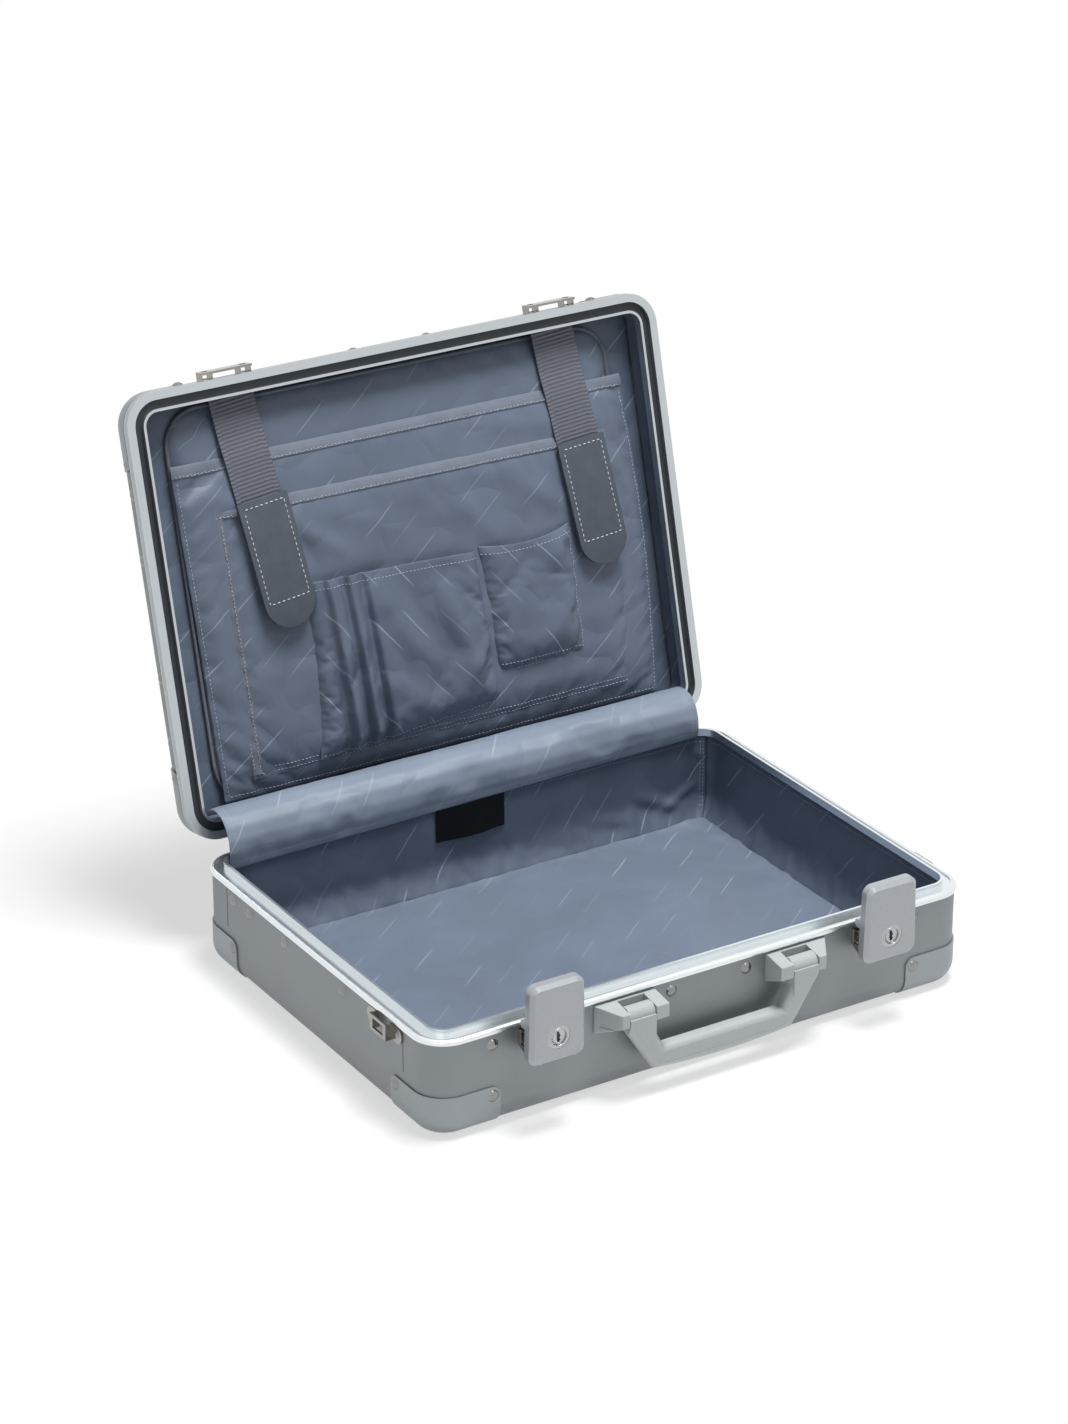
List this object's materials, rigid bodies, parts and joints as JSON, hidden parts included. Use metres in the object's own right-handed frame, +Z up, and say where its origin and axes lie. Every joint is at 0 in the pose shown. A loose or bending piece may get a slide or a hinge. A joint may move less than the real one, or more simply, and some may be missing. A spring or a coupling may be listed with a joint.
{
  "type": "laptop hard case",
  "caption": "Hard aluminium attache case for a laptop with riveted corner caps, draw latches with key locks, a swinging handle and a fabric organiser in the hinged lid.",
  "frame": {"origin": "middle of the bounding box of the case as pictured, lid open, on the ground under the corner caps", "axes": "+Z up; X along the hinge, +X to the right seen from the handle; -Y towards the handle, +Y towards the hinge"},
  "size_m": [0.4642, 0.4742, 0.4121],
  "materials": {
    "satin_sheet": "satin anodised sheet",
    "bright_rim": "bright anodised extrusion",
    "cap_metal": "satin pressed sheet",
    "rivet_metal": "polished",
    "nickel": "nickel plated",
    "latch_grey": "silver grey, satin",
    "handle_grey": "silver grey, matt",
    "lock_steel": "satin",
    "lining_blue": "blue-grey nylon",
    "pocket_blue": "blue-grey nylon",
    "webbing": "ribbed webbing",
    "tab_leather": "dark grey, stitched",
    "gasket": "black",
    "label": "black satin"
  },
  "bodies": {
    "base": {"base_corner_caps": "cap_metal", "base_floor_pad": "lining_blue", "base_hinge_leaf_left": "rivet_metal", "base_hinge_leaf_right": "rivet_metal", "base_lining_back": "lining_blue", "base_lining_front": "lining_blue", "base_lining_left": "lining_blue", "base_lining_right": "lining_blue", "base_rim_frame": "bright_rim", "base_rivets": "rivet_metal", "base_shell": "satin_sheet", "base_small_rivets": "rivet_metal", "handle_bracket_left": "handle_grey", "handle_bracket_right": "handle_grey", "handle_pins": "rivet_metal", "handle_screws": "rivet_metal", "hinge_flap_hem": "lining_blue", "hinge_pins": "rivet_metal", "latch_housing_left": "nickel", "latch_housing_right": "nickel", "latch_pivot_pins": "nickel", "lining_label": "label", "strap_loop_left": "nickel", "strap_loop_right": "nickel"},
    "lid": {"flat_pocket": "pocket_blue", "hinge_flap": "lining_blue", "lid_catch_left": "nickel", "lid_catch_right": "nickel", "lid_corner_caps": "cap_metal", "lid_gasket": "gasket", "lid_hinge_leaf_left": "rivet_metal", "lid_hinge_leaf_right": "rivet_metal", "lid_lining_panel": "lining_blue", "lid_lining_walls": "lining_blue", "lid_rim_frame": "bright_rim", "lid_rivets": "rivet_metal", "lid_shell": "satin_sheet", "lid_small_rivets": "rivet_metal", "lid_straps": "webbing", "middle_pocket": "pocket_blue", "organiser_panel": "lining_blue", "pleated_pocket": "pocket_blue", "rear_pocket": "pocket_blue", "strap_tabs": "tab_leather"},
    "handle": {"handle_body": "handle_grey", "handle_grip_insert": "handle_grey"},
    "latch_left": {"hook_pin_left": "nickel", "hook_spring_left": "nickel", "latch_cover_left": "latch_grey"},
    "latch_right": {"hook_pin_right": "nickel", "hook_spring_right": "nickel", "latch_cover_right": "latch_grey"},
    "hook_left": {"latch_hook_left": "nickel"},
    "hook_right": {"latch_hook_right": "nickel"},
    "lock_left": {"lock_cam_left": "lock_steel", "lock_cylinder_left": "lock_steel"},
    "lock_right": {"lock_cam_right": "lock_steel", "lock_cylinder_right": "lock_steel"}
  },
  "joints": [
    {"name": "lid_hinge", "type": "hinge", "parent": "base", "child": "lid", "pos_m": [0, 0.12725, 0.0777], "axis": [1, 0, 0], "range_deg": [0, 104.3]},
    {"name": "handle_swing", "type": "hinge", "parent": "base", "child": "handle", "pos_m": [0.001, -0.22415, 0.0637], "axis": [-1, 0, 0], "range_deg": [0, 100]},
    {"name": "latch_left_lift", "type": "hinge", "parent": "base", "child": "latch_left", "pos_m": [-0.1395, -0.22265, 0.0552], "axis": [1, 0, 0], "range_deg": [0, 80]},
    {"name": "hook_left_swing", "type": "hinge", "parent": "latch_left", "child": "hook_left", "pos_m": [-0.1395, -0.22445, 0.0822], "axis": [-1, 0, 0], "range_deg": [0, 20], "stiffness_Nm_per_rad": 0.01, "springref_deg": -20.05},
    {"name": "lock_left_turn", "type": "hinge", "parent": "latch_left", "child": "lock_left", "pos_m": [-0.1395, -0.23715, 0.0717], "axis": [0, -1, 0], "range_deg": [0, 90]},
    {"name": "latch_right_lift", "type": "hinge", "parent": "base", "child": "latch_right", "pos_m": [0.1395, -0.22265, 0.0552], "axis": [1, 0, 0], "range_deg": [0, 80]},
    {"name": "hook_right_swing", "type": "hinge", "parent": "latch_right", "child": "hook_right", "pos_m": [0.1395, -0.22445, 0.0822], "axis": [-1, 0, 0], "range_deg": [0, 20], "stiffness_Nm_per_rad": 0.01, "springref_deg": -20.05},
    {"name": "lock_right_turn", "type": "hinge", "parent": "latch_right", "child": "lock_right", "pos_m": [0.1395, -0.23715, 0.0717], "axis": [0, -1, 0], "range_deg": [0, 90]}
  ]
}
